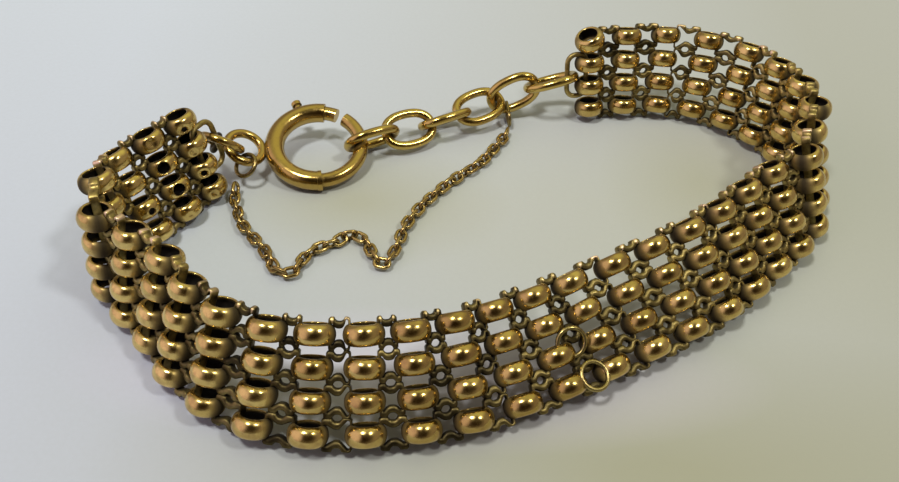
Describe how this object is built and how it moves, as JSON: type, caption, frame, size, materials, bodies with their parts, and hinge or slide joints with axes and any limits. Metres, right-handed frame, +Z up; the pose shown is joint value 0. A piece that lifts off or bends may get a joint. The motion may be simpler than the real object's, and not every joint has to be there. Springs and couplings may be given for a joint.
{
  "type": "gold bracelet",
  "caption": "Antique gold bracelet of small hollow rings joined by ribbon frames, with a bolt ring clasp, a short chain and a fine safety chain, standing as a closed loop.",
  "frame": {"origin": "middle of the bracelet's outline, on the surface it stands on", "axes": "+X along the loop's length towards the end with the short chain, +Y from the front of the band towards the clasp, +Z up across the band's width"},
  "size_m": [0.081, 0.06, 0.0119],
  "materials": {
    "band_gold": "worn antique rose-yellow gold with dark grime in the recesses",
    "clasp_gold": "smooth worn yellow gold",
    "chain_gold": "fine worn gold links, darker between them",
    "wire_gold": "drawn olive-gold wire"
  },
  "bodies": {
    "bracelet": {"band_01": "band_gold", "band_02": "band_gold", "band_03": "band_gold", "band_04": "band_gold", "band_05": "band_gold", "band_06": "band_gold", "band_07": "band_gold", "band_08": "band_gold", "band_09": "band_gold", "band_10": "band_gold", "band_11": "band_gold", "band_12": "band_gold", "band_13": "band_gold", "band_14": "band_gold", "bolt_ring": "clasp_gold", "jump_ring": "clasp_gold", "small_ring": "band_gold", "wire_ring": "wire_gold", "trace_link_1": "clasp_gold", "trace_link_2": "clasp_gold", "trace_link_3": "clasp_gold", "trace_link_4": "clasp_gold", "trace_link_5": "clasp_gold", "trace_link_6": "clasp_gold", "safety_chain": "chain_gold", "chain_end_loop": "wire_gold"},
    "bolt": {"bolt": "clasp_gold"}
  },
  "joints": [
    {"name": "bolt_slide", "type": "hinge", "parent": "bracelet", "child": "bolt", "pos_m": [-0.01923, 0.01201, 0.00252], "axis": [0.0592, -0.2419, 0.9685], "range_deg": [-12.4, 19]}
  ]
}
